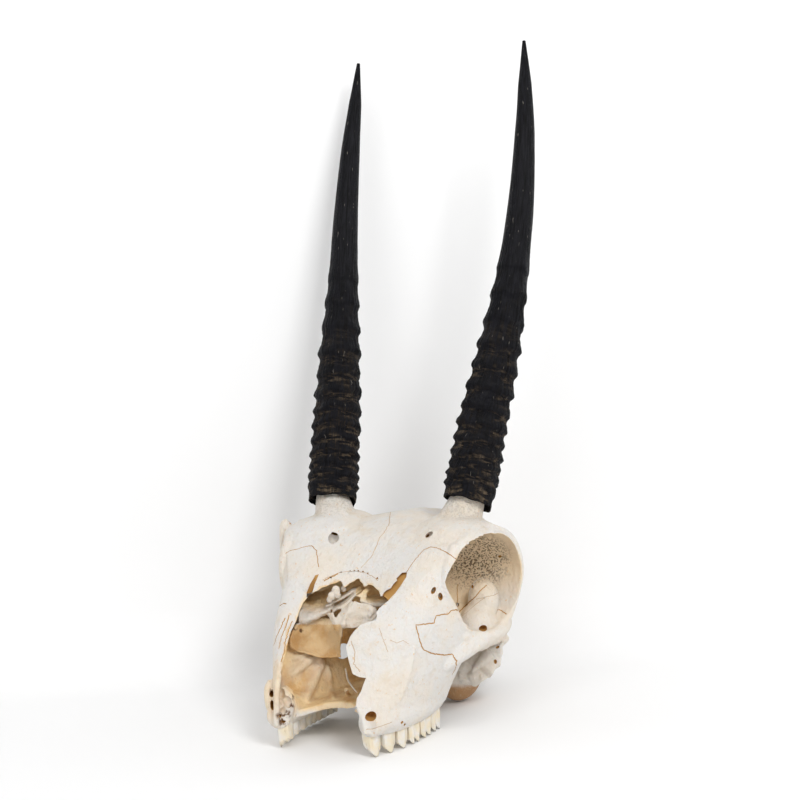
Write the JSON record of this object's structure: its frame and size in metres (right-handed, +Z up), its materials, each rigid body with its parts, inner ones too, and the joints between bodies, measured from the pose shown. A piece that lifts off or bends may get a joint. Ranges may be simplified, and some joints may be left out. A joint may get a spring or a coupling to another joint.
{
  "type": "oribi skull",
  "caption": "Small antelope skull with tall ringed black horns on bony cores, open broken nose, deep eye sockets and worn cheek teeth, resting on its teeth and ear capsules.",
  "frame": {"origin": "under the middle of the skull and horns, on the surface that the skull stands on", "axes": "+Z up from the chewing plane to the horn tips, the face looks along -Y, the animal's left side is +X"},
  "size_m": [0.0836, 0.1068, 0.2241],
  "materials": {
    "bone": "dry bleached bone, matt, with pores, sutures and brown stains",
    "horn": "black horn, fibrous and ringed below, polished towards the tip",
    "tooth": "ivory enamel with a dull sheen and brown grooves"
  },
  "bodies": {
    "root": {"cranium": "bone", "horn_sheath_left": "horn", "horn_sheath_right": "horn", "left_premolar_2": "tooth", "left_premolar_3": "tooth", "left_premolar_4": "tooth", "left_molar_1": "tooth", "left_molar_2": "tooth", "left_molar_3": "tooth", "right_premolar_2": "tooth", "right_premolar_3": "tooth", "right_premolar_4": "tooth", "right_molar_1": "tooth", "right_molar_2": "tooth", "right_molar_3": "tooth"}
  },
  "joints": []
}
